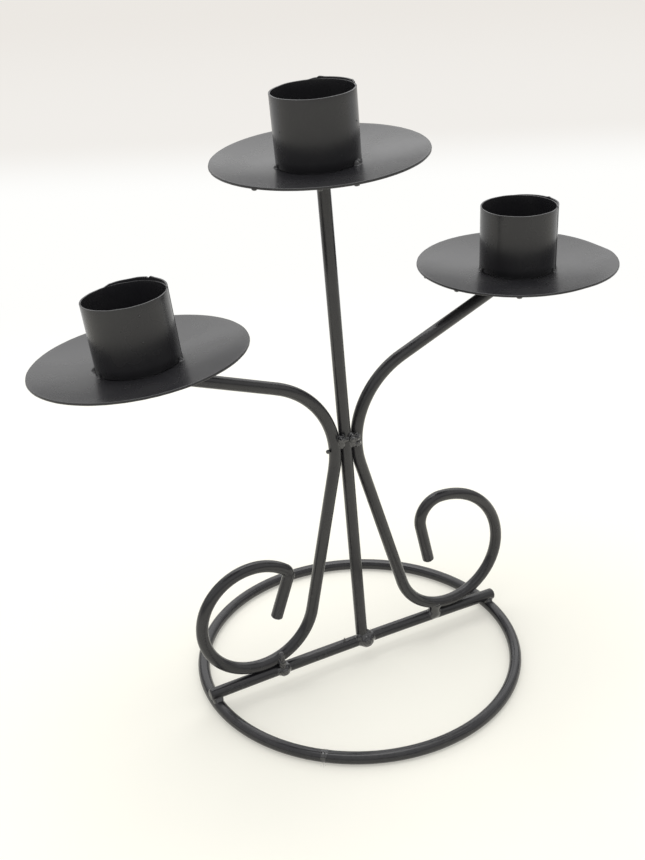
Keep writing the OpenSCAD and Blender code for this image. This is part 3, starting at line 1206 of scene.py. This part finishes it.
@dataclass(frozen=True)
class Lump:
    """A rounded lump of weld metal, from one point to another.

    Attributes:
        start_mm: Where it begins.
        end_mm: Where it ends.
        start_r_mm: Radius at its beginning.
        end_r_mm: Radius at its end.
    """

    start_mm: Point
    end_mm: Point
    start_r_mm: float
    end_r_mm: float

    def distance(self, points: Array) -> Array:
        """Give the distance of points from the lump's surface.

        Args:
            points: Points in millimetres.

        Returns:
            One distance for each point, negative inside.
        """
        a, b = np.array(self.start_mm), np.array(self.end_mm)
        way = b - a
        share = np.clip((points - a) @ way / max(way @ way, 1e-9), 0, 1)
        near = a + share[:, None] * way
        radius = self.start_r_mm + share * (self.end_r_mm - self.start_r_mm)
        return np.linalg.norm(points - near, axis=1) - radius


def ball(x: float, y: float, z: float, r: float) -> Lump:
    """Give a round lump at a place in millimetres."""
    return Lump((x, y, z), (x, y, z), r, r)


def part_distance(part: Thing, points: Array) -> Array:
    """Give the distance of points from a part's surface, negative inside.

    Args:
        part: The part.
        points: Points in millimetres.

    Returns:
        One distance for each point, in millimetres.
    """
    mesh = part.data
    tree = BVHTree.FromPolygons([v.co for v in mesh.vertices], [p.vertices for p in mesh.polygons])
    found = np.empty(len(points))
    for number, point in enumerate(points):
        at = Vector(point * MM)
        near, normal, _, distance = tree.find_nearest(at)
        found[number] = math.copysign(distance / MM, (at - near).dot(normal))
    return found


def melt(a: Array, b: Array, flow: Array) -> Array:
    """Join two sets of distances with a smooth corner.

    Args:
        a: First distances.
        b: Second distances.
        flow: Width of the corner's curve at each point.

    Returns:
        The joined distances.
    """
    safe = np.maximum(flow, 1e-6)
    overlap = np.clip(safe - np.abs(a - b), 0, None) / safe
    return np.minimum(a, b) - overlap * overlap * safe / 4


@dataclass(frozen=True)
class Weld:
    """Weld metal that has run between the parts it joins.

    Attributes:
        name: Name of the piece.
        node: CAD node that it stands for.
        parts: CAD nodes that it joins.
        lumps: The lumps of metal.
        run_mm: How far the metal flows into the corners.
        reach_mm: How far from the lumps it flows.
        freeze: Middle, spacing and height of the rings that the metal froze in.
        step_mm: Fineness of its surface.
        uneven_mm: Height of the bumps on it.
        dull: Whether it is painted like the sheet beside it.
        seed: Seed of its bumps.
        far_mm: Distance that stands for points too far from a part to matter.
        sunk_mm: How far its skin lies below the surface of the parts, to end inside them.
        table_mm: Least height of its points above the table.
    """

    name: str
    node: str
    parts: tuple[str, ...]
    lumps: tuple[Lump, ...]
    run_mm: float = 1.1
    reach_mm: float = 2.4
    freeze: tuple[tuple[Point, float, float], ...] = ()
    step_mm: float = 0.22
    uneven_mm: float = 0.05
    dull: bool = False
    seed: int = 3
    far_mm: float = 5.0
    sunk_mm: float = 0.03
    table_mm: float = 0.02

    def grid(self) -> tuple[Array, Array, Array]:
        """Lay a grid of points round the lumps.

        Returns:
            Its first point, its number of points each way, and the points in millimetres.
        """
        ends = np.array([p for lump in self.lumps for p in (lump.start_mm, lump.end_mm)])
        radii = [r for lump in self.lumps for r in (lump.start_r_mm, lump.end_r_mm)]
        reach = max(radii) + self.reach_mm
        low, high = ends.min(0) - reach, ends.max(0) + reach
        counts = np.ceil((high - low) / self.step_mm).astype(int) + 1
        grid = np.stack(np.meshgrid(*(np.arange(n) for n in counts), indexing="ij"), -1)
        return low, counts, low + self.step_mm * grid.reshape(-1, 3)

    def metal(self, points: Array) -> Array:
        """Give the distance of points from the lumps, with their rings and bumps.

        Args:
            points: Points in millimetres.

        Returns:
            One distance for each point, negative inside.
        """
        lumps = np.min([lump.distance(points) for lump in self.lumps], axis=0)
        for middle, spacing, height in self.freeze:
            away = np.linalg.norm(points - np.array(middle), axis=1)
            fade = np.exp(-((away / (3.2 * spacing)) ** 2))
            lumps -= height * fade * np.cos(FULL_TURN * away / spacing)
        return lumps - self.uneven_mm * ripple(points, 1.6, self.seed)

    def build(self, parts: dict[str, Thing], finishes: Finishes) -> None:
        """Build the weld in place of its CAD node.

        Args:
            parts: The parts that it may join, by name.
            finishes: The paints.
        """
        low, counts, points = self.grid()
        lumps = self.metal(points)
        near = lumps < self.reach_mm
        flow = self.run_mm * np.clip(1 - lumps / self.reach_mm, 0, 1)
        solid = np.full(len(points), self.far_mm)
        for part in self.parts:
            distance = np.full(len(points), self.far_mm)
            distance[near] = part_distance(parts[part], points[near])
            solid = melt(solid, distance, flow)
        together = melt(solid, lumps, flow) + self.sunk_mm
        values = np.maximum(together, lumps - self.reach_mm + self.step_mm).reshape(counts)
        for axis in range(3):
            for end in (0, -1):
                edge = [slice(None)] * 3
                edge[axis] = end
                values[tuple(edge)] = np.maximum(values[tuple(edge)], 0.01)
        surface, faces = surface_of(values, low, self.step_mm)
        surface[:, 2] = np.maximum(surface[:, 2], self.table_mm)
        paint = finishes.sheet if self.dull else finishes.bead
        add_piece(self.name, surface * MM, faces, paint, self.node)


def bead(joint: str, parts: tuple[str, ...], *lumps: Lump, **looks: object) -> Weld:
    """Give the weld of a named joint between parts, from its lumps and other values."""
    return Weld(f"{joint}_bead", f"{joint}_weld", parts, lumps, **looks)


WIRE_WELDS = (
    bead(
        "ring_joint",
        ("base_ring",),
        Lump((-34.35, -38.95, 1.85), (-33.85, -39.4, 1.85), 1.84, 1.84),
        run_mm=0.8,
    ),
    bead(
        "left_bar_end",
        ("base_ring", "cross_bar"),
        Lump((-52.49, -1.51, 3.48), (-51.30, -1.61, 3.38), 0.95, 0.85),
        Lump((-52.46, 1.39, 3.64), (-51.36, 1.59, 3.54), 0.95, 0.85),
    ),
    bead(
        "right_bar_end",
        ("base_ring", "cross_bar"),
        Lump((52.45, -1.31, 3.66), (51.75, -1.41, 3.46), 0.9, 0.8),
        Lump((52.31, 1.29, 3.82), (51.61, 1.39, 3.62), 0.9, 0.8),
    ),
    bead(
        "stem_foot",
        ("cross_bar", "centre_stem"),
        ball(2.30, -1.05, 5.85, 2.75),
        Lump((0.01, -0.89, 7.59), (3.20, -0.59, 7.80), 0.9, 1.15),
        freeze=(((1.90, -3.45, 6.2), 0.9, 0.12),),
        seed=11,
    ),
    bead(
        "left_scroll_foot",
        ("cross_bar", "left_scroll"),
        ball(-28.54, -1.20, 5.83, 2.15),
        Lump((-29.15, -1.78, 8.51), (-29.25, -1.68, 9.70), 1.25, 1.15),
        Lump((-29.16, -1.45, 10.9), (-28.96, -1.15, 12.0), 1.15, 0.95),
        ball(-28.83, 0.91, 7.58, 1.4),
        freeze=(((-29.06, -2.77, 11.4), 1.0, 0.10), ((-28.65, -3.30, 5.83), 0.9, 0.10)),
        run_mm=0.7,
        seed=5,
    ),
    bead(
        "right_scroll_foot",
        ("cross_bar", "right_scroll"),
        Lump((29.62, -0.62, 6.45), (29.95, -0.68, 8.96), 1.75, 1.75),
        ball(30.04, 0.71, 7.74, 1.4),
        run_mm=1.6,
        uneven_mm=0.03,
        seed=6,
    ),
    bead(
        "left_waist",
        ("centre_stem", "left_scroll"),
        Lump((-4.22, -1.19, 82.9), (-3.91, -0.81, 80.4), 1.1, 0.95),
        Lump((-4.9, -2.1, 82.95), (-3.6, -2.3, 82.8), 0.75, 0.75),
        freeze=(((-4.25, -2.75, 82.75), 0.9, 0.15),),
        step_mm=0.15,
        seed=8,
    ),
    bead(
        "right_waist",
        ("centre_stem", "right_scroll"),
        Lump((-0.22, -0.99, 82.53), (-0.11, -0.71, 79.84), 1.15, 0.95),
        ball(1.08, -1.00, 82.14, 1.0),
        ball(1.35, -0.95, 79.64, 0.85),
        Lump((-1.1, -2.1, 82.25), (0.8, -2.2, 82.2), 0.78, 0.78),
        Lump((1.6, -1.45, 80.5), (1.9, -1.3, 79.6), 0.55, 0.5),
        Lump((-3.92, -1.04, 82.2), (-0.52, -1.10, 82.0), 0.5, 0.5),
        freeze=(((-0.3, -2.75, 81.95), 0.9, 0.15),),
        step_mm=0.15,
        seed=9,
    ),
)


def pan_weld(side: str, place: Place, seed: int) -> Weld:
    """Give the weld that holds a pan on its wire, hidden below the pan.

    Args:
        side: left, centre or right.
        place: Where the pan lies.
        seed: Seed of its bumps.

    Returns:
        The weld.
    """
    wire, ways = f"{side}_scroll", ((0.0, 1.5), (0.0, -1.5))
    back = {"left": 1.2, "centre": 0.0, "right": -1.2}[side]
    if side == "centre":
        wire, ways = "centre_stem", ((1.4, 0.0), (-0.9, 1.3), (-0.9, -1.3))
    lumps = (ball(*place.spot_mm(x + back, y, -0.8), 1.9) for x, y in ways)
    return bead(f"{side}_pan", (f"{side}_drip_pan", wire), *lumps, seed=seed)


def cup_tacks(side: str, spots: tuple[Point, ...], place: Place) -> Weld:
    """Give the small tack welds in the corner between a cup and its pan, as one weld.

    Args:
        side: left, centre or right.
        spots: Direction in degrees, radius, and height of each lump above the cup's foot.
        place: Where the pan lies.

    Returns:
        The weld.
    """
    lumps = []
    for direction, radius, lift in spots:
        a = math.radians(direction)
        out = BORE_MM / 2 + CUP_SHEET_MM + radius * 0.25
        x, y = CUP_SHIFT_MM[side] + out * math.cos(a), out * math.sin(a)
        lumps.append(ball(*place.spot_mm(x, y, 1.25 + lift), radius))
    return Weld(
        f"{side}_cup_tack_beads",
        f"{side}_cup_tacks",
        (f"{side}_drip_pan", f"{side}_candle_cup"),
        tuple(lumps),
        run_mm=0.5,
        reach_mm=1.0,
        uneven_mm=0.10,
        step_mm=0.28,
        dull=True,
        seed=20,
    )


# ---- The stand ----

PANS = (
    DripPan("left"),
    DripPan("centre", drips=((-152, 0.42), (-118, 0.30), (-100, 0.38))),
    DripPan(
        "right",
        drips=((170, 0.36), (-161, 0.40), (-124, 0.42)),
        drawn=DrawnEdge(spread_mm=1.4, way=-28.0, droop_mm=0.35, limit_mm=30.28),
    ),
)
LEFT_EDGE = (
    *((-19, 0.1), (10, 0.6), (27, 0.85), (33, 1.1)),
    *((36, 0.55), (39, 0.9), (60, 0.7), (87, 0.5)),
)
CENTRE_EDGE = ((-12, 0.2), (-5, 0.6), (0, 0.4), (45, 0.4), (53, 0.65), (56, 0.3))
RIGHT_EDGE = ((-45, 0.1), (-12, 0.3), (0, 0.35), (4, 0.55), (9, 0.25), (50, 0.1))
LEFT_SPECKS = ((-92, 16.5, 0.26), (-96, 14.0, 0.20), (-94, 9.5, 0.24))
CENTRE_SPECKS = ((-48, 11.0, 0.20), (-172, 10.5, 0.22))
CUPS = (
    CandleCup("left", (-19, 87), LEFT_EDGE, LEFT_SPECKS),
    CandleCup("centre", (-12, 56), CENTRE_EDGE, CENTRE_SPECKS),
    CandleCup("right", (-45, 50), RIGHT_EDGE),
)
TACKS = {
    "left": ((-35, 0.65, -0.1), (-174, 0.5, 0.0), (158, 0.8, 0.1)),
    "centre": ((-59, 0.75, 0.1), (-53, 0.8, 0.2), (165, 0.6, 0.0)),
    "right": ((-55, 0.6, 0.0), (163, 0.6, 0.0)),
}


def welds(places: dict[str, Place]) -> list[Weld]:
    """List the welds of the stand.

    Args:
        places: Where the three pans lie.

    Returns:
        The welds, from the table up.
    """
    made = list(WIRE_WELDS)
    for side, place in places.items():
        made.append(pan_weld(side, place, len(made)))
    return made + [cup_tacks(side, spots, places[side]) for side, spots in TACKS.items()]


def main() -> None:
    """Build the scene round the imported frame."""
    logging.basicConfig(level=logging.INFO, format="%(name)s: %(message)s")
    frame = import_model()
    nodes = frame["nodes"]
    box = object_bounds()
    studio = Studio()
    studio.camera()
    studio.light()
    PaperFloor().build()
    finishes = Finishes.build()
    for name, node in sorted(nodes.items()):
        material, slot = finishes.for_node(name)
        node.data.materials.clear()
        node.data.materials.append(material)
        if slot is Slot.WIRE:
            coat(node, box)
    mounts = {mount["name"]: mount for mount in frame["record"]["mounts"]}
    parts = dict(nodes)
    parts["cross_bar"] = CrossBar().build(nodes["cross_bar"], finishes)
    places = {}
    for pan in PANS:
        mount = mounts[f"{pan.side}_cup_bore"]
        places[pan.side] = pan.build(nodes[f"{pan.side}_drip_pan"], mount, finishes)
    for cup in CUPS:
        cup.build(nodes[f"{cup.side}_candle_cup"], places[cup.side], finishes)
    for weld in welds(places):
        weld.build(parts, finishes)
    Drop(0.70).add_at("spatter_ball", (-8.14, 0.45, 78.84), finishes)
    Drop(0.32, stretch=5.0).add_at("spatter_spike", (-5.51, -0.39, 7.43), finishes)


if __name__ == "__main__":
    main()
